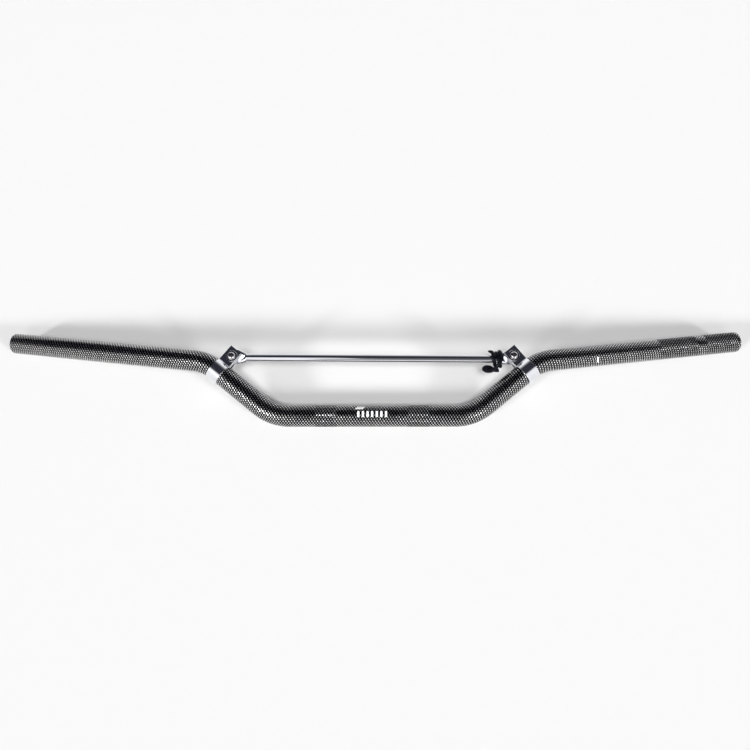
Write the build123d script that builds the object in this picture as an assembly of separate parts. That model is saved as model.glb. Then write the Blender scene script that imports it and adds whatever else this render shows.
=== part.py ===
from build123d import *
import math
import os

# Motocross handlebar: one bent steel tube, a chrome crossbar held between the two
# risers by cast clamps, and a black cord tied round the crossbar.
#
# Frame: X runs along the bar, with the rider's left at +X. Y points back, the way
# the grips are swept, and Z is up. The origin is the middle of the straight centre
# section that the stem clamps hold. The bar lies as it comes to rest on a table: the
# centre section and the two bar ends touch it, one tube radius below the origin.
#
# The bar is drawn in its rise plane first: u along the bar, v up the risers and w
# out of the front face. lay_down() then turns it about X into its resting place.

# Driving dimensions, millimetres and degrees
TUBE_D = 22.2              # control and grip diameter, the 7/8 inch standard
TUBE_WALL = 2.0
END_CHAMFER = 0.5
BEND_RADIUS = 50.0         # centre line radius of all four bends
CENTRE_CORNER = 103.0      # from the middle to where centre and riser lines cross
RISER_ANGLE = 39.0         # riser against the centre section, in the rise plane
RISER_LENGTH = 92.5        # between the two line crossings of a riser
HALF_WIDTH = 405.0         # middle to the centre of a bar end
RISE = 94.0                # bar end above the centre section, in the rise plane
SWEEP = 52.0               # bar end behind the rise plane

CLAMP_ALONG = 75.1         # middle of a clamp, measured up the riser from its corner
CLAMP_WIDTH = 14.0
RING_WALL = 1.5
EAR_THICKNESS = 5.0
EAR_REACH = 29.2           # riser axis to the end of the ears
EAR_GAP = 3.8              # slot between the ears, filled by the crossbar's tongue
THROAT_RADIUS = 1.0        # where the ears leave the ring
CLAMP_EDGE = 0.2

SCREW_ALONG = 73.75        # screw centre, up the riser from its corner
SCREW_OUT = 20.7           # screw centre, out from the riser axis
SCREW_D = 4.0
SCREW_HOLE_D = 4.5
HEAD_D = 8.0
HEAD_HEIGHT = 3.1
HEAD_RIM = 1.3             # straight rim under the dome
HEAD_FLAT = 0.4            # flat crown, as a share of the head's radius
HEAD_SHOULDER = (0.82, 0.8)  # a point of the dome, as shares of radius and height
RECESS_SPAN = 4.4          # cross recess, tip to tip at its mouth
RECESS_SLOT = 1.1
RECESS_DEPTH = 1.8
RECESS_POINT_R = 0.5
THREAD_CHAMFER = 0.5
WASHER_D = 12.0            # plain washer under the head
WASHER_THICKNESS = 1.0
WASHER_CHAMFER = 0.25
LOCK_WASHER_D = 7.6
LOCK_WASHER_THICKNESS = 0.9
LOCK_WASHER_SPLIT = 0.8
LOCK_WASHER_SLANT = 25.0   # the split's slant through the thickness, degrees
LOCK_WASHER_TURN = 70.0    # where the split stands round the screw, degrees
LOCK_WASHER_PLAY = 0.1     # clear of the screw all round
NUT_ACROSS_FLATS = 7.0
NUT_THICKNESS = 3.2
NUT_CHAMFER = 0.5
SCREW_PROUD = 1.5          # thread that stands out of the nut

ROD_D = 8.5
ROD_END = 133.2            # middle to where the pressed ends begin
ROD_RISE_LEFT = 60.5       # rod axis over the centre section, at its two ends
ROD_RISE_RIGHT = 62.8
COLLAR_WIDTH = 10.6        # first section of the pressed end
COLLAR_THICKNESS = 8.0
COLLAR_ROUND = 3.95        # corner radius of that section
NECK_MIDDLE = 136.6        # section half way down to the tongue
NECK_WIDTH = 12.6
NECK_THICKNESS = 5.8
NECK_ROUND = 2.85
TONGUE_START = 141.0
TONGUE_WIDTH = 14.4
TONGUE_RISE_LEFT = 62.0
TONGUE_RISE_RIGHT = 63.4
TONGUE_EDGE = 0.8

CORD_D = 3.85              # the tie round the crossbar
CORD_TIP_R = 0.8           # the drawn out end on top
CORD_TIP_LENGTH = 2.4
CORD_TIP_ROUND = 0.5
CORD_END_CHAMFER = 0.3
CORD_FRONT = 46.2          # the route's front, this far over the table, degrees
CORD_ARC_SHARE = 0.45      # how much of the shorter run a corner's arc takes

# The cord's route: along the bar, then up and to the front from the rod's axis. It
# starts on top, winds round the rod three times, crosses its own turns in front,
# turns back in a loop below the rod and ends beside it.
CORD_ROUTE = [
    (123.8, 7.85, 0.1),
    (125.2, 7.4, 1.6),
    (126.0, 4.9, 5.3),
    (126.2, 0.2, 7.1),
    (127.6, -4.6, 5.8),
    (128.4, -6.9, 1.2),
    (128.9, -5.4, -4.2),
    (129.0, -0.6, -7.0),
    (129.2, 4.5, -5.3),
    (129.5, 7.1, -0.8),
    (129.9, 5.2, 4.6),
    (131.0, 0.8, 7.1),
    (132.8, -3.9, 6.5),
    (134.1, -7.7, 2.6),
    (134.1, -7.2, -3.3),
    (133.7, -2.2, -7.0),
    (132.9, 4.0, -6.9),
    (133.1, 8.4, -2.4),
    (133.6, 7.5, 3.8),
    (134.9, 3.0, 8.6),
    (133.6, -1.4, 11.2),
    (130.6, -5.8, 11.0),
    (127.6, -9.8, 8.6),
    (124.0, -12.4, 6.9),
    (118.8, -12.3, 6.0),
    (115.7, -10.2, 4.4),
    (118.6, -8.2, 2.8),
    (122.6, -8.4, 1.8),
    (126.2, -10.6, 1.6),
    (129.8, -11.8, 1.8),
    (132.8, -11.4, 2.2),
]

# Worked out from them
tube_r = TUBE_D / 2
bore_r = tube_r - TUBE_WALL
riser_cos = math.cos(math.radians(RISER_ANGLE))
riser_sin = math.sin(math.radians(RISER_ANGLE))
upper_corner = (CENTRE_CORNER + RISER_LENGTH * riser_cos, RISER_LENGTH * riser_sin)
clamp_face = EAR_GAP / 2 + EAR_THICKNESS
ring_r = tube_r + RING_WALL
LEFT = 1
RIGHT = -1
SIDES = {"left": LEFT, "right": RIGHT}
FROM_BASE = (Align.CENTER, Align.CENTER, Align.MIN)
SMALL = 0.01               # distances under this count as none


def lay_angle():
    """Angle that brings the rims of the bar ends down to the table."""
    grip = Vector(HALF_WIDTH, RISE, -SWEEP) - Vector(*upper_corner, 0)
    grip = grip.normalized()
    reach = math.hypot(RISE, SWEEP)
    own_angle = math.atan2(SWEEP, RISE)
    angle = own_angle
    for _ in range(20):
        slope = grip.Y * math.sin(angle) + grip.Z * math.cos(angle)
        rim_drop = tube_r * (1 - math.sqrt(1 - slope * slope))
        angle = own_angle - math.asin(rim_drop / reach)
    return math.degrees(angle)


LAY = lay_angle()


def lay_down(shape):
    return Rot(LAY, 0, 0) * shape


def laid(point):
    """Place of a rise plane point once the bar lies on the table."""
    turn = math.radians(LAY)
    u, v, w = point
    return Vector(u, v * math.cos(turn) - w * math.sin(turn), v * math.sin(turn) + w * math.cos(turn))


def riser_point(side, along, out, front=0.0):
    """Rise plane point given up the riser, out from its axis and to the front."""
    u = CENTRE_CORNER + along * riser_cos - out * riser_sin
    v = along * riser_sin + out * riser_cos
    return (side * u, v, front)


# The bent tube

def tube_path():
    corners = [
        (-HALF_WIDTH, RISE, -SWEEP),
        (-upper_corner[0], upper_corner[1], 0),
        (-CENTRE_CORNER, 0, 0),
        (CENTRE_CORNER, 0, 0),
        (upper_corner[0], upper_corner[1], 0),
        (HALF_WIDTH, RISE, -SWEEP),
    ]
    return FilletPolyline(*corners, radius=BEND_RADIUS)


def tube_core(radius):
    """Round bar along the tube's centre line, still in the rise plane."""
    path = tube_path()
    return sweep(Plane(origin=path @ 0, z_dir=path % 0) * Circle(radius), path=path)


def make_tube():
    outside = tube_core(tube_r)
    rims = [edge for edge in outside.edges() if edge.geom_type == GeomType.CIRCLE]
    rims = [edge for edge in rims if abs(edge.arc_center.X) > HALF_WIDTH - 1]
    outside = chamfer(rims, END_CHAMFER)
    return lay_down(outside - tube_core(bore_r))


# The clamps on the risers

def make_clamp(side):
    """Split ring with two thick ears, extruded along the riser and bedded on the tube."""
    riser = Vector(side * riser_cos, riser_sin, 0)
    out = Vector(-side * riser_sin, riser_cos, 0)
    start = Vector(*riser_point(side, CLAMP_ALONG - CLAMP_WIDTH / 2, 0))
    section = Plane(origin=start, x_dir=out, z_dir=riser)
    ears = Pos(EAR_REACH / 2, 0) * Rectangle(EAR_REACH, 2 * clamp_face)
    profile = Circle(ring_r) + ears
    fold = math.sqrt(ring_r ** 2 - clamp_face ** 2)
    throat = [p for p in profile.vertices() if abs(p.X - fold) < SMALL]
    profile = fillet(throat, THROAT_RADIUS)
    profile -= Circle(bore_r)
    profile -= Pos(EAR_REACH, 0) * Rectangle(2 * EAR_REACH, EAR_GAP)
    body = extrude(section * profile, CLAMP_WIDTH, dir=riser)
    rims = [edge for edge in body.edges() if is_outer_rim(edge, start, riser, out)]
    body = fillet(rims, CLAMP_EDGE)
    hole = screw_plane(side, 0) * Cylinder(SCREW_HOLE_D / 2, 4 * clamp_face)
    return lay_down(body - hole - tube_core(tube_r))


def is_outer_rim(edge, start, riser, out):
    """Edges of the two side faces that lie on the outside of ring and ears."""
    middle = edge.position_at(0.5) - start
    height = middle.dot(riser)
    on_side = min(abs(height), abs(height - CLAMP_WIDTH)) < SMALL
    across = edge.position_at(0) - edge.position_at(1)
    if not on_side or abs(across.dot(riser)) > SMALL:
        return False
    reach = math.hypot(middle.dot(out), middle.Z)
    outside = reach > (ring_r + tube_r) / 2
    return outside and abs(middle.Z) > EAR_GAP / 2 + SMALL


def screw_plane(side, front):
    """Plane across the screw axis, at a height over the rise plane."""
    return Plane(origin=riser_point(side, SCREW_ALONG, SCREW_OUT, front), z_dir=(0, 0, 1))


# Fasteners

def make_screw(side):
    """Pan head screw with a cross recess, its head on the front washer."""
    half = HEAD_D / 2
    edge = (half * HEAD_FLAT, HEAD_HEIGHT)
    shoulder = (half * HEAD_SHOULDER[0], HEAD_HEIGHT * HEAD_SHOULDER[1])
    crown = Line((0, HEAD_HEIGHT), edge)
    dome = ThreePointArc(edge, shoulder, (half, HEAD_RIM))
    outline = crown + dome + Polyline((half, HEAD_RIM), (half, 0), (0, 0), (0, HEAD_HEIGHT))
    head = revolve(Plane.XZ * make_face(outline), Axis.Z)
    slot = Box(RECESS_SPAN, RECESS_SLOT, 2 * RECESS_DEPTH)
    slots = slot + Rot(0, 0, 90) * slot
    point = Cone(RECESS_POINT_R, RECESS_SPAN / 2, 2 * RECESS_DEPTH)
    head -= Pos(0, 0, HEAD_HEIGHT) * (slots & point)
    length = 2 * clamp_face + WASHER_THICKNESS + LOCK_WASHER_THICKNESS + NUT_THICKNESS + SCREW_PROUD
    shank = Pos(0, 0, -length / 2) * Cylinder(SCREW_D / 2, length)
    shank = chamfer(shank.edges().sort_by(Axis.Z)[0], THREAD_CHAMFER)
    turned = Rot(0, 0, side * RISER_ANGLE) * (head + shank)
    return lay_down(screw_plane(side, clamp_face + WASHER_THICKNESS) * turned)


def make_washer(side):
    """Plain washer between the screw head and the front ear."""
    ring = Cylinder(WASHER_D / 2, WASHER_THICKNESS)
    ring = chamfer(ring.edges().filter_by(GeomType.CIRCLE), WASHER_CHAMFER)
    ring -= Cylinder(SCREW_HOLE_D / 2, 2 * WASHER_THICKNESS)
    return lay_down(screw_plane(side, clamp_face + WASHER_THICKNESS / 2) * ring)


def make_lock_washer(side):
    ring = Cylinder(LOCK_WASHER_D / 2, LOCK_WASHER_THICKNESS)
    ring -= Cylinder(SCREW_D / 2 + LOCK_WASHER_PLAY, LOCK_WASHER_THICKNESS)
    cut = Pos(LOCK_WASHER_D / 2, 0, 0) * Box(LOCK_WASHER_D, LOCK_WASHER_SPLIT, 3 * LOCK_WASHER_THICKNESS)
    ring -= Rot(LOCK_WASHER_SLANT, 0, 0) * cut
    height = -clamp_face - LOCK_WASHER_THICKNESS / 2
    return lay_down(screw_plane(side, height) * Rot(0, 0, LOCK_WASHER_TURN) * ring)


def make_nut(side):
    """Hexagon nut behind the back ear, chamfered on both faces."""
    corner_r = NUT_ACROSS_FLATS / math.sqrt(3)
    block = extrude(RegularPolygon(corner_r, 6), NUT_THICKNESS / 2, both=True)
    turned = Cylinder(corner_r, NUT_THICKNESS)
    turned = chamfer(turned.edges().filter_by(GeomType.CIRCLE), NUT_CHAMFER)
    nut = (block & turned) - Cylinder(SCREW_D / 2, 2 * NUT_THICKNESS)
    height = -clamp_face - LOCK_WASHER_THICKNESS - NUT_THICKNESS / 2
    return lay_down(screw_plane(side, height) * Rot(0, 0, side * RISER_ANGLE) * nut)


# The crossbar

def make_crossbar():
    """Rod whose ends are pressed flat into drilled tongues."""
    left_end = Vector(ROD_END, ROD_RISE_LEFT, 0)
    right_end = Vector(-ROD_END, ROD_RISE_RIGHT, 0)
    rod = left_end - right_end
    bar = Plane(origin=right_end, z_dir=rod) * Cylinder(ROD_D / 2, rod.length, align=FROM_BASE)
    bar += crossbar_end(LEFT, ROD_RISE_LEFT, TONGUE_RISE_LEFT)
    bar += crossbar_end(RIGHT, ROD_RISE_RIGHT, TONGUE_RISE_RIGHT)
    return lay_down(bar)


def crossbar_end(side, rod_rise, tongue_rise):
    screw_u, screw_v, _ = riser_point(side, SCREW_ALONG, SCREW_OUT)
    collar_plane = Plane(origin=(side * ROD_END, rod_rise, 0), x_dir=(0, 1, 0), z_dir=(side, 0, 0))
    tongue_plane = Plane(origin=(side * TONGUE_START, tongue_rise, 0), x_dir=(0, 1, 0), z_dir=(side, 0, 0))
    collar = RectangleRounded(COLLAR_WIDTH, COLLAR_THICKNESS, COLLAR_ROUND)
    flat = RectangleRounded(TONGUE_WIDTH, EAR_GAP, TONGUE_EDGE)
    neck_rise = (rod_rise + tongue_rise) / 2
    neck_plane = Plane(origin=(side * NECK_MIDDLE, neck_rise, 0), x_dir=(0, 1, 0), z_dir=(side, 0, 0))
    middle = RectangleRounded(NECK_WIDTH, NECK_THICKNESS, NECK_ROUND)
    neck = loft([collar_plane * collar, neck_plane * middle, tongue_plane * flat])
    length = abs(screw_u) - TONGUE_START
    blade = Pos(side * (TONGUE_START + length / 2), tongue_rise) * Rectangle(length, TONGUE_WIDTH)
    blade += Pos(screw_u, tongue_rise) * Circle(TONGUE_WIDTH / 2)
    tongue = extrude(blade, EAR_GAP / 2, both=True)
    hole = Pos(screw_u, screw_v) * Cylinder(SCREW_HOLE_D / 2, 4 * EAR_GAP)
    return neck + tongue - hole - ear_space(side)


def ear_space(side):
    """Room of the two ears, which press the tongue flat where they hold it."""
    start = riser_point(side, CLAMP_ALONG, EAR_REACH / 2)
    across = (side * riser_cos, riser_sin, 0)
    thick = 2 * clamp_face
    room = Box(CLAMP_WIDTH, EAR_REACH, thick) - Box(CLAMP_WIDTH, EAR_REACH, EAR_GAP)
    return Plane(origin=start, x_dir=across, z_dir=(0, 0, 1)) * room


# The cord tied round the crossbar

def rod_point(u):
    """Point on the rod's axis once the bar lies on the table."""
    slope = (ROD_RISE_LEFT - ROD_RISE_RIGHT) / (2 * ROD_END)
    middle = (ROD_RISE_LEFT + ROD_RISE_RIGHT) / 2
    return laid((u, middle + slope * u, 0))


def cord_place(u, up, front):
    """A route point in the frame of the whole bar."""
    turn = math.radians(CORD_FRONT)
    y = up * math.sin(turn) - front * math.cos(turn)
    z = up * math.cos(turn) + front * math.sin(turn)
    return rod_point(u) + Vector(0, y, z)


def corner_radius(before, corner, after):
    """Arc that takes its share of the shorter of the two runs at a corner."""
    run_in = corner - before
    run_out = after - corner
    half_turn = math.radians(run_in.get_angle(run_out)) / 2
    return CORD_ARC_SHARE * min(run_in.length, run_out.length) / math.tan(half_turn)


def cord_path():
    points = [cord_place(*stop) for stop in CORD_ROUTE]
    corners = zip(points, points[1:], points[2:])
    radii = [corner_radius(*corner) for corner in corners]
    path = FilletPolyline(*points, radius=radii)
    print("cord corner radii", [round(radius, 1) for radius in radii])
    print("cord length", round(path.length + CORD_TIP_LENGTH, 1))
    return path


def make_cord_tie():
    path = cord_path()
    start = Plane(origin=path @ 0, z_dir=path % 0)
    cord = sweep(start * Circle(CORD_D / 2), path=path)
    cut_end = cord.edges().filter_by(GeomType.CIRCLE).sort_by_distance(path @ 1)[0]
    cord = chamfer(cut_end, CORD_END_CHAMFER)
    tip = Cone(CORD_D / 2, CORD_TIP_R, CORD_TIP_LENGTH, align=FROM_BASE)
    tip = fillet(tip.edges().sort_by(Axis.Z)[-1], CORD_TIP_ROUND)
    return cord + Plane(origin=path @ 0, z_dir=-(path % 0)) * tip


def check_solid(name, shape):
    count = len(shape.solids())
    if count != 1:
        raise ValueError(f"{name} has {count} solids")
    return shape.solids()[0]


nodes = {"handlebar_tube": make_tube(), "crossbar": make_crossbar(), "cord_tie": make_cord_tie()}
for name, side in SIDES.items():
    nodes[f"{name}_clamp"] = make_clamp(side)
    nodes[f"{name}_clamp_screw"] = make_screw(side)
    nodes[f"{name}_plain_washer"] = make_washer(side)
    nodes[f"{name}_lock_washer"] = make_lock_washer(side)
    nodes[f"{name}_nut"] = make_nut(side)

os.makedirs("parts", exist_ok=True)
for name, shape in nodes.items():
    export_step(check_solid(name, shape), f"parts/{name}.step")
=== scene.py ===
import math

import bmesh
import bpy
from bpy.props import FloatProperty, FloatVectorProperty, IntProperty, PointerProperty
from mathutils import Matrix, Vector


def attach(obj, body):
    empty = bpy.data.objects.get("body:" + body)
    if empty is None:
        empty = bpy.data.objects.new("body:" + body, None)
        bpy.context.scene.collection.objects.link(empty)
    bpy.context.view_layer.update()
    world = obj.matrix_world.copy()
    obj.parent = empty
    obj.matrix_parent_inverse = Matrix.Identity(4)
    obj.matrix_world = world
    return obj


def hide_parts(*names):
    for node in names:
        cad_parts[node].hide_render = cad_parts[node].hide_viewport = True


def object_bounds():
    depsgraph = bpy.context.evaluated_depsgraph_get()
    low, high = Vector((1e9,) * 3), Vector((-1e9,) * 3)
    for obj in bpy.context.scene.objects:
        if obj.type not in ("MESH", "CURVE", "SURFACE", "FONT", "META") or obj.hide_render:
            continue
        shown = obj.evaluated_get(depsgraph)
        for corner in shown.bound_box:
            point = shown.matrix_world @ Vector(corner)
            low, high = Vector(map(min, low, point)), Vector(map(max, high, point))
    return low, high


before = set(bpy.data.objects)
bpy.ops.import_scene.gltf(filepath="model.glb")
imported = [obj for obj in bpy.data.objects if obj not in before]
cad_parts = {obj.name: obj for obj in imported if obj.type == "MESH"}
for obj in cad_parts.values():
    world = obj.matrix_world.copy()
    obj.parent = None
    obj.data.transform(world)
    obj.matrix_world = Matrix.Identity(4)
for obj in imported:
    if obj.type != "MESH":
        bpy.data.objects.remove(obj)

bl_info = {
    "name": "Motocross handlebar",
    "version": (1, 0, 0),
    "blender": (4, 5, 0),
    "location": "3D View > Sidebar > Handlebar",
    "description": "Builds the bent tube, chrome crossbar, clamps and cord tie of a motocross handlebar",
    "category": "Object",
}

MM = 0.001
LEFT = 1
RIGHT = -1
CAD_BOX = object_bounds()

# The bar as it is drawn, in its own plane, before its corners are bent and it is laid on the table
CENTRE_CORNER = 103 * MM     # from the middle to where centre and riser lines cross
RISER_ANGLE = 39.0           # riser against the centre section, degrees
RISER_LENGTH = 92.5 * MM     # between the two line crossings of a riser
HALF_WIDTH = 405 * MM        # middle to the centre of a bar end
RISE = 94 * MM               # bar end above the centre section
SWEEP = 52 * MM              # bar end behind the plane
RISER_BEND_STEPS = 26
GRIP_BEND_STEPS = 24

# Knurled bands, from the middle of the bar and back from the rim of the left end
PLAIN_RING = 18 * MM         # a ring between the middle and the first band
CENTRE_KNURL = (36.8 * MM, 58.2 * MM)
LEFT_GRIP_KNURLS = ((100 * MM, 53.5 * MM), (42.5 * MM, 3.5 * MM))

# The cord's stops in mm: along the bar, up and to the front from the rod's axis,
# then the thickness there as a share of the cord's
CORD_FRONT = 46.2            # the stops' front rises this far from the table, degrees
ROD_HALF = 133.2             # from the middle to where the rod's pressed ends begin
ROD_RISE_LEFT = 60.5         # from the tube's axis to the rod's at those places
ROD_RISE_RIGHT = 62.8
CORD_STOPS = [
    (121.6, 8.5, -1.6, 0.35),
    (123.6, 7.9, -0.1, 0.9),
    (125.2, 7.4, 1.6, 1.0),
    (126.0, 4.9, 5.3, 1.0),
    (126.2, 0.2, 7.1, 1.0),
    (127.6, -4.6, 5.8, 1.0),
    (128.4, -6.9, 1.2, 1.0),
    (128.9, -5.4, -4.2, 1.0),
    (129.0, -0.6, -7.0, 1.0),
    (129.2, 4.5, -5.3, 1.0),
    (129.5, 7.1, -0.8, 1.0),
    (129.9, 5.2, 4.6, 1.0),
    (131.0, 0.8, 7.1, 1.0),
    (132.8, -3.9, 6.5, 1.0),
    (134.1, -7.7, 2.6, 1.0),
    (134.1, -7.2, -3.3, 1.0),
    (133.7, -2.2, -7.0, 1.0),
    (132.9, 4.0, -6.9, 1.0),
    (133.1, 8.4, -2.4, 1.0),
    (133.6, 7.5, 3.8, 1.0),
    (134.9, 3.0, 8.6, 1.0),
    (133.6, -1.4, 11.2, 1.0),
    (130.6, -5.8, 11.0, 1.0),
    (127.6, -9.8, 8.6, 1.0),
    (124.0, -12.4, 6.9, 1.0),
    (118.8, -12.3, 6.0, 1.12),
    (115.7, -10.2, 4.4, 1.12),
    (118.6, -8.2, 2.8, 1.12),
    (122.6, -8.4, 1.8, 1.12),
    (126.2, -10.6, 1.6, 1.12),
    (129.8, -11.8, 1.8, 1.12),
    (132.4, -11.4, 2.2, 1.0),
]

# The film's light cells, in shares of the room that each one has
CELL_HALF = (0.2, 0.36)      # along the row and across it
CELL_ROUNDNESS = 2.4         # 2 is an ellipse, more is squarer
CELL_EDGE = (0.6, 1.15)
ROW_SHIFT = 0.42
DIMMEST_CELL = 0.72
KNURLED_CELL_LIGHT = 0.68

# Print and chip on the film, as corners in the film's own coordinates
TICK_PITCH = 4.7 * MM
TICK_WIDTH = 2.0 * MM
TICK_ROW = ((-16.0 * MM, -3.1 * MM), (16.6 * MM, 3.3 * MM))
PRINT_BAR = ((-16.5 * MM, 5.4 * MM), (-8.0 * MM, 9.6 * MM))
CHIP = ((236.6 * MM, 56.6 * MM), (238.6 * MM, 63.0 * MM))
PRINT_EDGE = 0.2 * MM
BAR_LEAN = 0.8
CHIP_LEAN = -0.35

# Turns of the cord's twist along its length and round it
TWIST_ALONG = 110.0
TWIST_ROUND = 3.0
TWIST_DEPTH = 0.2 * MM

# Brown in the screw recess: full inside the first distance from the axis, none past the second
BROWN_REACH = (1.0 * MM, 1.8 * MM)

# Gloss of plated metal: what hairlines add to its roughness and smudges leave of its colour
SCRATCH_ROUGHNESS = 0.25
SMUDGE_SHADE = 0.93

# Slots of the tube's materials
FILM_SLOT, BARE_SLOT, KNURLED_SLOT = range(3)

# Air of the studio for dull surfaces, and the shades of the walls that only gloss sees
AIR_COLOUR = (0.97, 0.97, 1.0)
AIR_STRENGTH = 0.11
WALL_DARK = (0.03, 0.031, 0.042)
WALL_LIGHT = (1.0, 1.0, 1.02)

# Sides of the walls are soft edges in degrees round the bar from its front. Heights are a low
# and a high direction, then the brightness at each.
FRONT_LEAN = 1.27
FRONT_HEIGHT = (-0.12, 0.3, 1.0, 0.0)
BACK_WALL = ((85, 140), (205, 219))
BACK_HEIGHT = (0.3, 1.0, 0.9, 0.0)
BACK_PANES = ((141, 148), (163, 169))
PANE_HEIGHT = (0.62, 0.97, 1.0, 0.0)
DARK_GAP = ((-7, -5), (13, 16))
GAP_DEPTH = (0.02, 0.4, 0.45, 0.86)

# Bright windows that only gloss sees: name, direction, reach from it as a chord, brightness
WINDOWS = (
    ("left window", (-0.50, -0.77, 0.40), 0.09, 26.0),
    ("left window's glow", (-0.50, -0.77, 0.40), 0.34, 0.8),
    ("right window", (0.42, -0.86, 0.29), 0.07, 18.0),
    ("right window's glow", (0.43, -0.84, 0.33), 0.3, 0.6),
)

# Distant lamps: name, direction, strength, width in degrees
SUNS = (
    ("left_window_light", (0.629, 0.698, -0.342), 1.95, 8.0),
    ("right_window_light", (-0.653, 0.676, -0.342), 1.75, 8.0),
    ("front_light", (0.0, 0.9, -0.44), 0.65, 15.0),
    ("camera_side_light", (0.0, 0.67, -0.74), 2.25, 12.0),
)

FLOOR_HALF = 6.0
FLOOR_GAP = 0.05 * MM

# The camera: its picture is as many pixels wide, and its focal length is in them
PICTURE_WIDTH = 750
FOCAL_LENGTH = 776.178
SENSOR_WIDTH = 36.0
CAMERA_PLACE = (0.0133595, -0.514511, 0.616580)
CAMERA_RIGHT = (0.99991199, 0.00776249, -0.01075923)
CAMERA_UP = (0.00163085, 0.73290231, 0.68033194)
CAMERA_LOOK = (-0.01316653, 0.6802896, -0.73282515)


# Sizes and colours

class HandlebarSizes(bpy.types.PropertyGroup):
    """Sizes of the tube, its knurl and film, and the cord"""
    tube_diameter: FloatProperty(
        name="Tube diameter", description="Outside diameter of the bent tube",
        default=0.0222, min=0.018, max=0.03, precision=4, unit="LENGTH")
    tube_wall: FloatProperty(
        name="Tube wall", description="Wall thickness seen at the open ends",
        default=0.002, min=0.001, max=0.004, precision=4, unit="LENGTH")
    end_chamfer: FloatProperty(
        name="End chamfer", description="Chamfer round the rim of each bar end",
        default=0.0005, min=0.0001, max=0.0015, precision=5, unit="LENGTH")
    bend_radius: FloatProperty(
        name="Bend radius", description="Centre line radius of the four bends",
        default=0.05, min=0.03, max=0.08, precision=4, unit="LENGTH")
    tube_sides: IntProperty(
        name="Tube sides", description="Number of facets round the tube",
        default=116, min=32, max=160)
    knurl_pitch: FloatProperty(
        name="Knurl pitch", description="Length of one knurl diamond along the bar",
        default=0.0012, min=0.0006, max=0.003, precision=4, unit="LENGTH")
    knurl_depth: FloatProperty(
        name="Knurl depth", description="How deep the knurl is pressed in",
        default=0.00014, min=0.00005, max=0.0006, precision=5, unit="LENGTH")
    cord_diameter: FloatProperty(
        name="Cord diameter", description="Diameter of the cord tied round the crossbar",
        default=0.00385, min=0.002, max=0.006, precision=5, unit="LENGTH")
    weave_pitch: FloatProperty(
        name="Weave pitch", description="Distance between two light cells of the film along a row",
        default=0.00296, min=0.001, max=0.006, precision=5, unit="LENGTH")
    weave_row: FloatProperty(
        name="Weave row", description="Distance between two rows of light cells",
        default=0.0022, min=0.001, max=0.006, precision=5, unit="LENGTH")


class HandlebarColours(bpy.types.PropertyGroup):
    """Colours of the finishes and of the floor"""
    weave_dark: FloatVectorProperty(
        name="Weave, dark", description="Black ground of the carbon look film",
        default=(0.002, 0.002, 0.003), min=0, max=1, subtype="COLOR")
    weave_light: FloatVectorProperty(
        name="Weave, light", description="Silver cells of the carbon look film",
        default=(1.0, 1.0, 1.0), min=0, max=1, subtype="COLOR")
    print_white: FloatVectorProperty(
        name="Print", description="White of the centring ticks and of the chip in the film",
        default=(0.85, 0.85, 0.85), min=0, max=1, subtype="COLOR")
    chrome: FloatVectorProperty(
        name="Chrome", description="Chrome plate of the crossbar and clamps",
        default=(0.86, 0.87, 0.9), min=0, max=1, subtype="COLOR")
    screw: FloatVectorProperty(
        name="Screw steel", description="Plated steel of the two clamp screws",
        default=(0.74, 0.73, 0.74), min=0, max=1, subtype="COLOR")
    rust: FloatVectorProperty(
        name="Recess browning", description="Brown tarnish in the screw recesses",
        default=(0.16, 0.07, 0.045), min=0, max=1, subtype="COLOR")
    zinc: FloatVectorProperty(
        name="Zinc", description="Zinc plate of the lock washers and nuts",
        default=(0.62, 0.63, 0.65), min=0, max=1, subtype="COLOR")
    cord: FloatVectorProperty(
        name="Cord", description="Glossy black cord of the tie",
        default=(0.003, 0.003, 0.005), min=0, max=1, subtype="COLOR")
    floor: FloatVectorProperty(
        name="Floor", description="Pale floor of the studio",
        default=(0.86, 0.855, 0.855), min=0, max=1, subtype="COLOR")


def sizes():
    return bpy.context.scene.handlebar_sizes


def colours():
    return bpy.context.scene.handlebar_colours


def drawn_runs(side):
    """The riser and the grip of one side, each from one crossing of the drawn lines to the next."""
    angle = math.radians(RISER_ANGLE)
    riser = Vector((side * math.cos(angle), math.sin(angle), 0)) * RISER_LENGTH
    end = Vector((side * HALF_WIDTH, RISE, -SWEEP))
    return riser, end - Vector((side * CENTRE_CORNER, 0, 0)) - riser


def lay_angle():
    """How far the bar leans back once the rims of its ends rest on the table."""
    grip = drawn_runs(LEFT)[1].normalized()
    radius = sizes().tube_diameter / 2
    reach = math.hypot(RISE, SWEEP)
    own_angle = math.atan2(SWEEP, RISE)
    angle = own_angle
    for _ in range(20):
        slope = grip.y * math.sin(angle) + grip.z * math.cos(angle)
        rim_drop = radius * (1 - math.sqrt(1 - slope * slope))
        angle = own_angle - math.asin(rim_drop / reach)
    return angle


def lay_down():
    """Turns a shape from the plane it is drawn in to where the bar lies."""
    return Matrix.Rotation(lay_angle(), 4, "X")


# Shader nodes and the group that more than one material uses

def new_group(name, inputs, outputs):
    """Node group with named inputs (name, socket, default) and outputs."""
    group = bpy.data.node_groups.new(name, "ShaderNodeTree")
    for label, kind, default in inputs:
        socket = group.interface.new_socket(label, in_out="INPUT", socket_type=kind)
        if default is not None:
            socket.default_value = default
    for label, kind in outputs:
        group.interface.new_socket(label, in_out="OUTPUT", socket_type=kind)
    source = group.nodes.new("NodeGroupInput")
    result = group.nodes.new("NodeGroupOutput")
    return group, source, result


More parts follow.
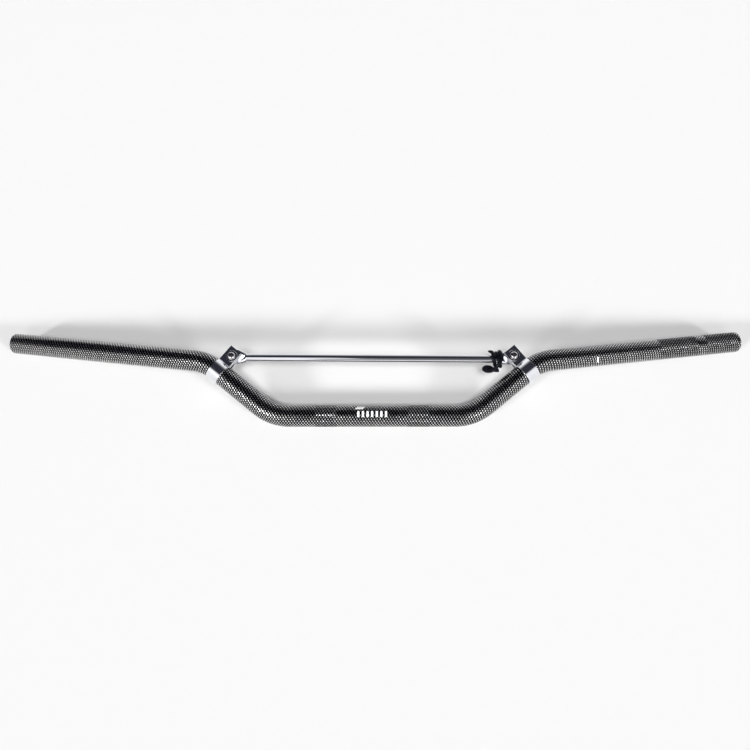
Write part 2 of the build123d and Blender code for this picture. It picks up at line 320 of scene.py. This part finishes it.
def node(tree, kind, links=None, **settings):
    """Adds a node, sets its fields or inputs and links the inputs that are given."""
    made = tree.nodes.new(kind)
    for key, value in settings.items():
        setattr(made, key, value)
    for key, value in (links or {}).items():
        if isinstance(value, bpy.types.NodeSocket):
            tree.links.new(value, made.inputs[key])
        else:
            made.inputs[key].default_value = value
    return made


def maths(tree, operation, first, second=0.0):
    """Result of a sum of one or two values."""
    made = node(tree, "ShaderNodeMath", {0: first, 1: second}, operation=operation)
    return made.outputs[0]


def ramp(tree, value, low, high, out_low=0.0, out_high=1.0):
    """Smooth step of a value between two limits."""
    made = node(tree, "ShaderNodeMapRange", {
        "Value": value, "From Min": low, "From Max": high, "To Min": out_low, "To Max": out_high,
    }, interpolation_type="SMOOTHSTEP")
    return made.outputs["Result"]


def band(tree, value, rise, fall):
    """1 between two soft edges of an angle, which are given in degrees, and 0 beyond them."""
    risen = ramp(tree, value, *[math.radians(edge) for edge in rise])
    not_fallen = ramp(tree, value, *[math.radians(edge) for edge in fall], 1.0, 0.0)
    return maths(tree, "MULTIPLY", risen, not_fallen)


def mix_colour(tree, factor, first, second):
    """Colour that goes from the first to the second as the factor goes from 0 to 1."""
    made = node(tree, "ShaderNodeMix", {"Factor": factor}, data_type="RGBA")
    for index, value in ((6, first), (7, second)):
        if isinstance(value, bpy.types.NodeSocket):
            tree.links.new(value, made.inputs[index])
        else:
            made.inputs[index].default_value = (*value, 1.0)
    return made.outputs[2]


def build_wear_group():
    """Fine handling marks: smudges that change the gloss and hairline scratches."""
    group, source, result = new_group(
        "Handling marks",
        [("Vector", "NodeSocketVector", None), ("Smudge Size", "NodeSocketFloat", 40.0),
         ("Scratch Size", "NodeSocketFloat", 300.0), ("Scratch Amount", "NodeSocketFloat", 0.4)],
        [("Smudge", "NodeSocketFloat"), ("Scratch", "NodeSocketFloat")],
    )
    smudge = node(group, "ShaderNodeTexNoise", {
        "Vector": source.outputs["Vector"], "Scale": source.outputs["Smudge Size"],
        "Detail": 3.0, "Roughness": 0.6,
    })
    stretch = node(group, "ShaderNodeMapping", {
        "Vector": source.outputs["Vector"], "Scale": (0.12, 1.0, 1.0), "Rotation": (0.3, 0.2, 0.4),
    })
    hair = node(group, "ShaderNodeTexVoronoi", {
        "Vector": stretch.outputs[0], "Scale": source.outputs["Scratch Size"],
    }, feature="DISTANCE_TO_EDGE")
    line = ramp(group, hair.outputs["Distance"], 0.0, 0.02, 1.0, 0.0)
    patch = node(group, "ShaderNodeTexNoise", {
        "Vector": source.outputs["Vector"], "Scale": 55.0, "Detail": 2.0,
    })
    here = ramp(group, patch.outputs["Fac"], 0.5, 0.7)
    scratch = maths(group, "MULTIPLY", line, here)
    scratch = maths(group, "MULTIPLY", scratch, source.outputs["Scratch Amount"])
    group.links.new(ramp(group, smudge.outputs["Fac"], 0.35, 0.75), result.inputs["Smudge"])
    group.links.new(scratch, result.inputs["Scratch"])
    return group


def new_material(name):
    """New material, its tree and its main shader."""
    material = bpy.data.materials.new(name)
    material.use_nodes = True
    tree = material.node_tree
    return material, tree, tree.nodes["Principled BSDF"]


def set_inputs(shader, values):
    """Sets plain numbers and colours on the shader's own sockets."""
    for key, value in values.items():
        shader.inputs[key].default_value = (*value, 1.0) if hasattr(value, "__len__") else value


def add_marks(tree, wear, **values):
    """Places the handling marks group on Object coordinates."""
    place = node(tree, "ShaderNodeTexCoord")
    marks = node(tree, "ShaderNodeGroup", node_tree=wear)
    tree.links.new(place.outputs["Object"], marks.inputs["Vector"])
    for key, value in values.items():
        marks.inputs[key.replace("_", " ")].default_value = value
    return marks


def box_mask(tree, place, low, high, lean=0.0):
    """1 inside a box of the film between two corners, its upright sides leaning by a share."""
    middle = [(low[axis] + high[axis]) / 2 for axis in (0, 1)]
    half = [(high[axis] - low[axis]) / 2 for axis in (0, 1)]
    up = maths(tree, "SUBTRACT", place.outputs["Y"], middle[1])
    along = maths(tree, "SUBTRACT", place.outputs["X"], middle[0])
    along = maths(tree, "SUBTRACT", along, maths(tree, "MULTIPLY", up, lean))
    inside = [ramp(tree, maths(tree, "ABSOLUTE", value), size - PRINT_EDGE, size, 1.0, 0.0)
              for value, size in ((along, half[0]), (up, half[1]))]
    return maths(tree, "MULTIPLY", *inside)


def printed_scale(tree, place):
    """Plain white print at the middle: a row of ticks for centring and a slanted bar above it."""
    half_pitch = TICK_PITCH / 2
    tick_side = half_pitch - TICK_WIDTH / 2
    shifted = maths(tree, "ADD", place.outputs["X"], half_pitch)
    beat = maths(tree, "PINGPONG", shifted, half_pitch)
    tick = ramp(tree, beat, tick_side - PRINT_EDGE, tick_side)
    row = maths(tree, "MULTIPLY", tick, box_mask(tree, place, *TICK_ROW))
    return maths(tree, "MAXIMUM", row, box_mask(tree, place, *PRINT_BAR, lean=BAR_LEAN))


def weave_cells(tree, place, cell_light):
    """Light cells in staggered rows, each a little different and none over the given light."""
    along = maths(tree, "DIVIDE", place.outputs["X"], sizes().weave_pitch)
    across = maths(tree, "DIVIDE", place.outputs["Y"], sizes().weave_row)
    row = maths(tree, "FLOOR", across)
    shifted = maths(tree, "ADD", along, maths(tree, "MULTIPLY", row, ROW_SHIFT))
    reach = []
    for value, half in zip((shifted, across), CELL_HALF):
        off = maths(tree, "SUBTRACT", maths(tree, "FRACT", value), 0.5)
        share = maths(tree, "ABSOLUTE", maths(tree, "DIVIDE", off, half))
        reach.append(maths(tree, "POWER", share, CELL_ROUNDNESS))
    cell = ramp(tree, maths(tree, "ADD", *reach), *CELL_EDGE, 1.0, 0.0)
    spot = node(tree, "ShaderNodeCombineXYZ", {"X": maths(tree, "FLOOR", shifted), "Y": row})
    grain = node(tree, "ShaderNodeTexWhiteNoise", {"Vector": spot.outputs[0]}, noise_dimensions="2D")
    shade = ramp(tree, grain.outputs["Value"], 0.0, 1.0, DIMMEST_CELL * cell_light, cell_light)
    return maths(tree, "MULTIPLY", cell, shade)


def film_material(wear, name="carbon_look_film", cell_light=1.0):
    """Carbon look film: silver cells in staggered rows on black, under a clear gloss."""
    material, tree, shader = new_material(name)
    uv = node(tree, "ShaderNodeUVMap", uv_map="film")
    place = node(tree, "ShaderNodeSeparateXYZ", {0: uv.outputs["UV"]})
    cell = weave_cells(tree, place, cell_light)
    marks = add_marks(tree, wear, Smudge_Size=28.0, Scratch_Amount=0.0)
    chip = box_mask(tree, place, *CHIP, lean=CHIP_LEAN)
    printed = maths(tree, "MAXIMUM", printed_scale(tree, place), chip)
    colour = mix_colour(tree, cell, colours().weave_dark, colours().weave_light)
    colour = mix_colour(tree, printed, colour, colours().print_white)
    tree.links.new(colour, shader.inputs["Base Color"])
    tree.links.new(maths(tree, "SUBTRACT", 1.0, printed), shader.inputs["Metallic"])
    rough = ramp(tree, marks.outputs["Smudge"], 0.0, 1.0, 0.285, 0.33)
    tree.links.new(rough, shader.inputs["Roughness"])
    set_inputs(shader, {"Coat Weight": 0.25, "Coat Roughness": 0.04, "Specular IOR Level": 0.1})
    return material


def knurled_film_material(wear):
    """The film where it is pressed into the knurl, which dulls its silver cells."""
    return film_material(wear, "knurled_film", KNURLED_CELL_LIGHT)


def worn_metal(name, wear, roughness, marks_size, scratch):
    """Metal whose gloss is broken by smudges and hairlines, without its colour yet."""
    material, tree, shader = new_material(name)
    marks = add_marks(tree, wear, Smudge_Size=marks_size, Scratch_Amount=scratch)
    rough = ramp(tree, marks.outputs["Smudge"], 0.0, 1.0, *roughness)
    hairlines = maths(tree, "MULTIPLY", marks.outputs["Scratch"], SCRATCH_ROUGHNESS)
    rough = maths(tree, "ADD", rough, hairlines)
    tree.links.new(rough, shader.inputs["Roughness"])
    shader.inputs["Metallic"].default_value = 1.0
    return material, tree, shader, marks


def smudged(tree, marks, colour, share):
    """A colour that turns to a share of itself, darker or lighter, under the smudges."""
    return mix_colour(tree, marks.outputs["Smudge"], colour, [share * part for part in colour])


def metal_material(name, colour, wear, roughness, marks_size, scratch):
    """Worn metal of one colour."""
    material, tree, shader, marks = worn_metal(name, wear, roughness, marks_size, scratch)
    tree.links.new(smudged(tree, marks, colour, SMUDGE_SHADE), shader.inputs["Base Color"])
    return material


def chrome_material(wear):
    """Bright chrome plate of the crossbar."""
    return metal_material("chrome_plate", colours().chrome, wear,
                          roughness=(0.035, 0.09), marks_size=45.0, scratch=0.5)


def clamp_material(wear):
    """Chrome plate of the clamps, a little softer than the crossbar's."""
    return metal_material("clamp_chrome", colours().chrome, wear,
                          roughness=(0.09, 0.15), marks_size=45.0, scratch=0.5)


def screw_material(wear):
    """Screw steel that turns brown in the recess, near the screw's own axis."""
    material, tree, shader, marks = worn_metal(
        "screw_steel_plate", wear, roughness=(0.14, 0.22), marks_size=260.0, scratch=0.6)
    place = node(tree, "ShaderNodeTexCoord").outputs["Object"]
    spots = []
    for side in (LEFT, RIGHT):
        away = node(tree, "ShaderNodeVectorMath", {0: place, 1: screw_centre(side)}, operation="DISTANCE")
        spots.append(ramp(tree, away.outputs["Value"], *BROWN_REACH, 1.0, 0.0))
    patch = node(tree, "ShaderNodeTexNoise", {"Vector": place, "Scale": 900.0, "Detail": 3.0})
    patchy = ramp(tree, patch.outputs["Fac"], 0.3, 0.6, 0.5, 1.0)
    brown = maths(tree, "MULTIPLY", maths(tree, "MAXIMUM", *spots), patchy)
    plain = smudged(tree, marks, colours().screw, 0.9)
    tree.links.new(mix_colour(tree, brown, plain, colours().rust), shader.inputs["Base Color"])
    return material


def zinc_material(wear):
    """Dull zinc plate of the lock washers and nuts."""
    return metal_material("zinc_plate", colours().zinc, wear,
                          roughness=(0.28, 0.42), marks_size=300.0, scratch=0.5)


def bare_tube_material(wear):
    """Bare steel inside the tube, a little oily."""
    return metal_material("bare_tube_steel", (0.32, 0.31, 0.3), wear,
                          roughness=(0.35, 0.55), marks_size=180.0, scratch=0.3)


def cord_material(wear):
    """Glossy black cord with a fine twist along it."""
    material, tree, shader = new_material("black_cord_gloss")
    uv = node(tree, "ShaderNodeUVMap", uv_map="UVMap")
    place = node(tree, "ShaderNodeSeparateXYZ", {0: uv.outputs["UV"]})
    turn = maths(tree, "ADD", maths(tree, "MULTIPLY", place.outputs["X"], TWIST_ALONG),
                 maths(tree, "MULTIPLY", place.outputs["Y"], TWIST_ROUND))
    strand = maths(tree, "ABSOLUTE", maths(tree, "SUBTRACT", maths(tree, "FRACT", turn), 0.5))
    bump = node(tree, "ShaderNodeBump", {"Height": strand, "Strength": 0.25, "Distance": TWIST_DEPTH})
    tree.links.new(bump.outputs["Normal"], shader.inputs["Normal"])
    marks = add_marks(tree, wear, Smudge_Size=220.0, Scratch_Amount=0.0)
    tree.links.new(ramp(tree, marks.outputs["Smudge"], 0.0, 1.0, 0.28, 0.36), shader.inputs["Roughness"])
    tree.links.new(smudged(tree, marks, colours().cord, 2.2), shader.inputs["Base Color"])
    set_inputs(shader, {"Coat Weight": 0.15, "Coat Roughness": 0.06, "Specular IOR Level": 0.05})
    return material


# Tube

class Station:
    """A place on the centre line: frame, heading in the film's plane and the film's point."""

    def __init__(self, matrix, heading, film, radius, knurled=False):
        self.matrix = matrix
        self.heading = heading
        self.film = film
        self.radius = radius
        self.knurled = knurled


def turned_about(matrix, pivot, axis, angle):
    """A frame turned round an axis that stands at the pivot."""
    about = Matrix.Translation(pivot) @ Matrix.Rotation(angle, 4, axis) @ Matrix.Translation(-pivot)
    return about @ matrix


def side_stations(side):
    """Frames from the middle of the bar out to one end, local Z pointing out along the tube."""
    radius = sizes().tube_diameter / 2
    bend = sizes().bend_radius
    chamfer = sizes().end_chamfer
    step = sizes().knurl_pitch / 2
    frame_now = Matrix(((0, 0, side, 0), (1, 0, 0, 0), (0, side, 0, 0), (0, 0, 0, 1)))
    heading = 0.0
    film = Vector((0.0, 0.0))
    stations = [Station(frame_now, heading, film.copy(), radius)]

    def go_straight(marks):
        nonlocal frame_now, film
        start_frame = frame_now.copy()
        start_film = film.copy()
        for distance, knurled in marks:
            frame_now = start_frame @ Matrix.Translation((0, 0, distance))
            way = Vector((side * math.cos(heading), math.sin(heading)))
            film = start_film + way * distance
            stations.append(Station(frame_now.copy(), heading, film.copy(), radius, knurled))

    def go_round(axis, angle, heading_to, steps):
        nonlocal frame_now, film, heading
        toward = axis.cross(frame_now.to_3x3() @ Vector((0, 0, 1)))
        pivot = frame_now.translation + toward * bend
        start_frame = frame_now.copy()
        start_heading = heading
        for count in range(1, steps + 1):
            part = count / steps
            frame_now = turned_about(start_frame, pivot, axis, angle * part)
            middle = start_heading + (heading_to - start_heading) * (count - 0.5) / steps
            run = bend * angle / steps
            film = film + Vector((side * math.cos(middle), math.sin(middle))) * run
            heading = start_heading + (heading_to - start_heading) * part
            stations.append(Station(frame_now.copy(), heading, film.copy(), radius))

    riser, grip = drawn_runs(side)
    riser_angle = math.radians(RISER_ANGLE)
    grip_angle = riser.angle(grip)
    riser_cut = bend * math.tan(riser_angle / 2)
    grip_cut = bend * math.tan(grip_angle / 2)
    centre_band = knurl_marks(*CENTRE_KNURL, step)
    go_straight([(PLAIN_RING, False)] + centre_band + [(CENTRE_CORNER - riser_cut, False)])
    go_round(Vector((0, 0, side)), riser_angle, riser_angle, RISER_BEND_STEPS)
    riser_straight = RISER_LENGTH - riser_cut - grip_cut
    go_straight([(riser_straight / 2, False), (riser_straight, False)])
    grip_heading = math.atan2(grip.y, side * grip.x)
    go_round(riser.cross(grip).normalized(), grip_angle, grip_heading, GRIP_BEND_STEPS)
    end = grip.length - grip_cut - chamfer
    marks = []
    if side == LEFT:
        for start, stop in LEFT_GRIP_KNURLS:
            marks += knurl_marks(end - start, end - stop, step)
    go_straight(marks + [(end, False)])
    rim = Station(frame_now @ Matrix.Translation((0, 0, chamfer)), heading, film.copy(), radius - chamfer)
    stations.append(rim)
    return stations


def knurl_marks(start, end, step):
    """Distances of the rings of a knurled band, with a plain ring at both of its ends."""
    count = round((end - start) / step)
    inner = [(start + step * (place + 0.5), True) for place in range(count)]
    return [(start, False)] + inner + [(start + step * count, False)]


def grow(bm, ring, move):
    """Extrudes a ring of edges, moves the new ring and returns its edges and vertices."""
    grown = bmesh.ops.extrude_edge_only(bm, edges=ring)["geom"]
    verts = [part for part in grown if isinstance(part, bmesh.types.BMVert)]
    fresh = set(verts)
    edges = [part for part in grown
             if isinstance(part, bmesh.types.BMEdge) and fresh.issuperset(part.verts)]
    bmesh.ops.transform(bm, matrix=move, verts=verts)
    return edges, verts


def build_bent_tube():
    """One closed skin: along the outside from end to end, round the rim and back inside."""
    sides = sizes().tube_sides
    bore = sizes().tube_diameter / 2 - sizes().tube_wall
    left_half = side_stations(LEFT)
    right_half = side_stations(RIGHT)
    flip = Matrix.Rotation(math.pi, 4, "X")
    outer = list(reversed(right_half[1:]))
    for station in outer:
        station.matrix = station.matrix @ flip
    outer += left_half
    plain = [station for station in reversed(outer) if not station.knurled]
    inner = [Station(station.matrix, station.heading, station.film, bore) for station in plain]
    stations = outer + inner
    first = stations[0]
    bm = bmesh.new()
    circle = bmesh.ops.create_circle(bm, segments=sides, radius=first.radius, matrix=first.matrix)
    start_edges = list(bm.edges)
    edges = start_edges
    rings = [(first, circle["verts"])]
    for before, now in zip(stations, stations[1:]):
        share = now.radius / before.radius
        move = now.matrix @ Matrix.Diagonal((share, share, 1, 1)) @ before.matrix.inverted()
        edges, verts = grow(bm, edges, move)
        rings.append((now, verts))
    bmesh.ops.bridge_loops(bm, edges=edges + start_edges)
    bmesh.ops.recalc_face_normals(bm, faces=bm.faces)
    paint_film(bm, rings, len(outer), sides)
    mesh = bpy.data.meshes.new("bent_tube")
    bm.to_mesh(mesh)
    bm.free()
    mesh.transform(lay_down())
    return mesh


def paint_film(bm, rings, outer_count, sides):
    """Knurl relief, the finish of each face and the film's own coordinates."""
    film = bm.loops.layers.uv.new("film")
    place = {}
    step = 2 * math.pi / sides
    for number, (station, verts) in enumerate(rings):
        back = station.matrix.inverted()
        for vert in verts:
            local = back @ vert.co
            angle = math.atan2(local.y, local.x)
            place[vert] = (number, angle)
            if station.knurled and (round(angle / step) + number) % 2:
                depth = 1 - sizes().knurl_depth / station.radius
                vert.co = station.matrix @ Vector((local.x * depth, local.y * depth, local.z))
    for face in bm.faces:
        spots = [place[vert] for vert in face.verts]
        numbers = [number for number, _ in spots]
        inside = max(numbers) >= outer_count
        knurled = any(rings[number][0].knurled for number in numbers)
        face.smooth = inside or not knurled
        face.material_index = BARE_SLOT if inside else KNURLED_SLOT if knurled else FILM_SLOT
        angles = [front_angle(rings[number][0], angle) for number, angle in spots]
        wraps = max(angles) - min(angles) > math.pi
        for loop, number, angle in zip(face.loops, numbers, angles):
            station = rings[number][0]
            if wraps and angle < 0:
                angle += 2 * math.pi
            arc = angle * sizes().tube_diameter / 2
            heading = station.heading if station.film.x >= 0 else -station.heading
            normal = Vector((-math.sin(heading), math.cos(heading)))
            loop[film].uv = station.film + normal * arc


def front_angle(station, angle):
    """Angle from the tube's front line, growing towards the upper side of the bar."""
    upper = station.matrix.to_3x3() @ Vector((math.cos(angle), math.sin(angle), 0))
    normal = station.matrix.to_3x3() @ Vector((1, 0, 0))
    front = station.matrix.to_3x3() @ Vector((0, 1, 0))
    if front.z < 0:
        front = -front
    return math.atan2(upper.dot(normal), upper.dot(front))


# Cord

def cord_place(along, up, front):
    """Place of a stop on the bar as it lies."""
    turn = math.radians(CORD_FRONT)
    share = (along + ROD_HALF) / (2 * ROD_HALF)
    rise = ROD_RISE_RIGHT + (ROD_RISE_LEFT - ROD_RISE_RIGHT) * share
    rod = lay_down() @ Vector((along, rise, 0))
    y = up * math.sin(turn) - front * math.cos(turn)
    z = up * math.cos(turn) + front * math.sin(turn)
    return (rod + Vector((0, y, z))) * MM


def build_cord():
    """Round cord that runs smoothly past its stops."""
    curve = bpy.data.curves.new("cord_line", "CURVE")
    curve.dimensions = "3D"
    curve.bevel_depth = sizes().cord_diameter / 2
    curve.bevel_resolution = 6
    curve.use_fill_caps = True
    spline = curve.splines.new("NURBS")
    spline.points.add(len(CORD_STOPS) - 1)
    for point, (along, up, front, thickness) in zip(spline.points, CORD_STOPS):
        point.co = (*cord_place(along, up, front), 1.0)
        point.radius = thickness
    spline.order_u = 3
    spline.use_endpoint_u = True
    spline.resolution_u = 8
    return curve


def screw_centre(side):
    """Middle of a screw's crown, worked out from the points of its node."""
    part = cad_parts["left_clamp_screw" if side == LEFT else "right_clamp_screw"]
    axis = lay_down().to_3x3() @ Vector((0, 0, 1))
    places = [vert.co for vert in part.data.vertices]
    top = max(place.dot(axis) for place in places)
    crown = [place for place in places if place.dot(axis) > top - 0.01 * MM]
    return sum(crown, Vector()) / len(crown)


# Putting pieces in the scene

def finish_piece(piece, slot_name, *nodes):
    """Puts a piece in the scene in place of the CAD nodes that it shows."""
    bpy.context.scene.collection.objects.link(piece)
    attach(piece, "root")
    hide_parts(*nodes)


def dress(node_name, material):
    """Gives a CAD node its finish."""
    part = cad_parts[node_name]
    part.data.materials.clear()
    part.data.materials.append(material)


def shared(name, build):
    """Material by name, built the first time it is asked for."""
    found = bpy.data.materials.get(name)
    if found is None:
        wear = bpy.data.node_groups.get("Handling marks") or build_wear_group()
        found = build(wear)
    return found


class HANDLEBAR_OT_bent_tube(bpy.types.Operator):
    """Bent tube with its carbon look film, knurled bands and open ends"""
    bl_idname = "handlebar.bent_tube"
    bl_label = "Bent Tube"

    def execute(self, context):
        mesh = build_bent_tube()
        mesh.materials.append(shared("carbon_look_film", film_material))
        mesh.materials.append(shared("bare_tube_steel", bare_tube_material))
        mesh.materials.append(shared("knurled_film", knurled_film_material))
        finish_piece(bpy.data.objects.new("bent_tube", mesh), "carbon_film", "handlebar_tube")
        return {"FINISHED"}


class HANDLEBAR_OT_crossbar(bpy.types.Operator):
    """Chrome plate on the crossbar"""
    bl_idname = "handlebar.crossbar"
    bl_label = "Crossbar"

    def execute(self, context):
        dress("crossbar", shared("chrome_plate", chrome_material))
        return {"FINISHED"}


class HANDLEBAR_OT_clamps(bpy.types.Operator):
    """Chrome plate on the two split clamps"""
    bl_idname = "handlebar.clamps"
    bl_label = "Clamps"

    def execute(self, context):
        for name in ("left_clamp", "right_clamp"):
            dress(name, shared("clamp_chrome", clamp_material))
        return {"FINISHED"}


class HANDLEBAR_OT_fasteners(bpy.types.Operator):
    """Finish of the screws, washers and nuts"""
    bl_idname = "handlebar.fasteners"
    bl_label = "Fasteners"

    def execute(self, context):
        for side in ("left", "right"):
            dress(f"{side}_clamp_screw", shared("screw_steel_plate", screw_material))
            dress(f"{side}_plain_washer", shared("screw_steel_plate", screw_material))
            dress(f"{side}_lock_washer", shared("zinc_plate", zinc_material))
            dress(f"{side}_nut", shared("zinc_plate", zinc_material))
        return {"FINISHED"}


class HANDLEBAR_OT_cord_tie(bpy.types.Operator):
    """Black cord wound round the crossbar near its left end"""
    bl_idname = "handlebar.cord_tie"
    bl_label = "Cord Tie"

    def execute(self, context):
        curve = build_cord()
        curve.materials.append(shared("black_cord_gloss", cord_material))
        finish_piece(bpy.data.objects.new("tied_cord", curve), "black_cord", "cord_tie")
        return {"FINISHED"}


# Stage

def build_floor():
    """Wide pale floor just under the bar."""
    bm = bmesh.new()
    bmesh.ops.create_grid(bm, x_segments=1, y_segments=1, size=FLOOR_HALF)
    bmesh.ops.translate(bm, vec=(0, 0, CAD_BOX[0][2] - FLOOR_GAP), verts=bm.verts)
    mesh = bpy.data.meshes.new("studio_floor")
    bm.to_mesh(mesh)
    bm.free()
    material, _, shader = new_material("pale_floor")
    set_inputs(shader, {"Base Color": colours().floor, "Roughness": 0.7, "Specular IOR Level": 0.2})
    mesh.materials.append(material)
    floor = bpy.data.objects.new("studio_floor", mesh)
    bpy.context.scene.collection.objects.link(floor)


def studio_walls(tree, way):
    """How bright gloss sees each direction: a bright front, a dimmer wall and two panes behind."""
    ahead = maths(tree, "MULTIPLY", way.outputs["Y"], -1.0)
    around = maths(tree, "ARCTAN2", way.outputs["X"], ahead)
    aside = maths(tree, "ABSOLUTE", around)
    wrap = node(tree, "ShaderNodeMath", {0: around, 1: math.tau, 2: 0.0}, operation="WRAP")
    full_turn = wrap.outputs[0]
    height = way.outputs["Z"]
    over = maths(tree, "SUBTRACT", height, maths(tree, "MULTIPLY", ahead, FRONT_LEAN))
    front_wall = ramp(tree, over, *FRONT_HEIGHT)
    back_wall = maths(tree, "MULTIPLY", band(tree, full_turn, *BACK_WALL), ramp(tree, height, *BACK_HEIGHT))
    back_panes = maths(tree, "MULTIPLY", band(tree, aside, *BACK_PANES), ramp(tree, height, *PANE_HEIGHT))
    walls = maths(tree, "MAXIMUM", front_wall, maths(tree, "MAXIMUM", back_wall, back_panes))
    gap = maths(tree, "MULTIPLY", band(tree, around, *DARK_GAP), ramp(tree, height, *GAP_DEPTH))
    return maths(tree, "MULTIPLY", walls, maths(tree, "SUBTRACT", 1.0, gap))


def add_window(tree, ray_way, colour, name, spot, size, power):
    """Adds a round bright window to the colour that gloss sees."""
    off = node(tree, "ShaderNodeVectorMath", {0: ray_way, 1: spot}, operation="DISTANCE")
    pane = ramp(tree, off.outputs["Value"], 0.6 * size, size, power, 0.0)
    spread = node(tree, "ShaderNodeCombineXYZ", {"X": pane, "Y": pane, "Z": pane})
    lit = node(tree, "ShaderNodeVectorMath", {0: colour, 1: (1.0, 1.0, 1.0), 2: spread.outputs[0]},
               operation="MULTIPLY_ADD", label=name)
    return lit.outputs[0]


def build_world():
    """Even air for dull surfaces, the studio walls for gloss and the floor's colour as backdrop."""
    world = bpy.data.worlds.new("studio_air")
    world.use_nodes = True
    bpy.context.scene.world = world
    tree = world.node_tree
    even = tree.nodes["Background"]
    set_inputs(even, {"Color": AIR_COLOUR, "Strength": AIR_STRENGTH})
    ray_way = node(tree, "ShaderNodeTexCoord").outputs["Generated"]
    way = node(tree, "ShaderNodeSeparateXYZ", {0: ray_way})
    colour = mix_colour(tree, studio_walls(tree, way), WALL_DARK, WALL_LIGHT)
    for window in WINDOWS:
        colour = add_window(tree, ray_way, colour, *window)
    seen = node(tree, "ShaderNodeBackground", {"Color": colour, "Strength": 1.0})
    ray = node(tree, "ShaderNodeLightPath")
    both = node(tree, "ShaderNodeMixShader", {
        0: ray.outputs["Is Glossy Ray"], 1: even.outputs[0], 2: seen.outputs[0],
    })
    backdrop = node(tree, "ShaderNodeBackground", {"Color": (*colours().floor, 1.0), "Strength": 1.0})
    whole = node(tree, "ShaderNodeMixShader", {
        0: ray.outputs["Is Camera Ray"], 1: both.outputs[0], 2: backdrop.outputs[0],
    })
    tree.links.new(whole.outputs[0], tree.nodes["World Output"].inputs["Surface"])


def add_sun(name, way, energy, spread):
    """Distant soft light. Gloss doesn't show its disc: the windows stand for it there."""
    light = bpy.data.lights.new(name, "SUN")
    light.energy = energy
    light.angle = math.radians(spread)
    lamp = bpy.data.objects.new(name, light)
    lamp.rotation_euler = Vector(way).to_track_quat("-Z", "Y").to_euler()
    lamp.visible_glossy = False
    bpy.context.scene.collection.objects.link(lamp)


def build_camera():
    """Camera above the front of the bar, as the picture was taken."""
    data = bpy.data.cameras.new("photo_camera")
    data.sensor_width = SENSOR_WIDTH
    data.lens = FOCAL_LENGTH * SENSOR_WIDTH / PICTURE_WIDTH
    camera = bpy.data.objects.new("photo_camera", data)
    axes = (Vector(CAMERA_RIGHT), Vector(CAMERA_UP), -Vector(CAMERA_LOOK))
    camera.matrix_world = Matrix.Translation(CAMERA_PLACE) @ Matrix(axes).transposed().to_4x4()
    bpy.context.scene.collection.objects.link(camera)
    bpy.context.scene.camera = camera


class HANDLEBAR_OT_stage(bpy.types.Operator):
    """Pale floor, soft studio light and the camera"""
    bl_idname = "handlebar.stage"
    bl_label = "Stage"

    def execute(self, context):
        build_floor()
        build_world()
        for sun in SUNS:
            add_sun(*sun)
        build_camera()
        context.scene.view_settings.view_transform = "Standard"
        return {"FINISHED"}


class HANDLEBAR_PT_panel(bpy.types.Panel):
    bl_idname = "HANDLEBAR_PT_panel"
    bl_label = "Motocross Handlebar"
    bl_space_type = "VIEW_3D"
    bl_region_type = "UI"
    bl_category = "Handlebar"

    def draw(self, context):
        layout = self.layout
        for group in (context.scene.handlebar_sizes, context.scene.handlebar_colours):
            column = layout.column()
            for name in group.bl_rna.properties.keys():
                if name not in ("rna_type", "name"):
                    column.prop(group, name)
        for step in STEPS:
            layout.operator(step.bl_idname)


STEPS = (
    HANDLEBAR_OT_stage,
    HANDLEBAR_OT_bent_tube,
    HANDLEBAR_OT_crossbar,
    HANDLEBAR_OT_clamps,
    HANDLEBAR_OT_fasteners,
    HANDLEBAR_OT_cord_tie,
)
CLASSES = (HandlebarSizes, HandlebarColours, *STEPS, HANDLEBAR_PT_panel)


def register():
    for item in CLASSES:
        bpy.utils.register_class(item)
    bpy.types.Scene.handlebar_sizes = PointerProperty(type=HandlebarSizes)
    bpy.types.Scene.handlebar_colours = PointerProperty(type=HandlebarColours)


def unregister():
    del bpy.types.Scene.handlebar_colours
    del bpy.types.Scene.handlebar_sizes
    for item in reversed(CLASSES):
        bpy.utils.unregister_class(item)


def main():
    register()
    bpy.ops.handlebar.stage()
    bpy.ops.handlebar.bent_tube()
    bpy.ops.handlebar.crossbar()
    bpy.ops.handlebar.clamps()
    bpy.ops.handlebar.fasteners()
    bpy.ops.handlebar.cord_tie()


if __name__ == "__main__":
    main()
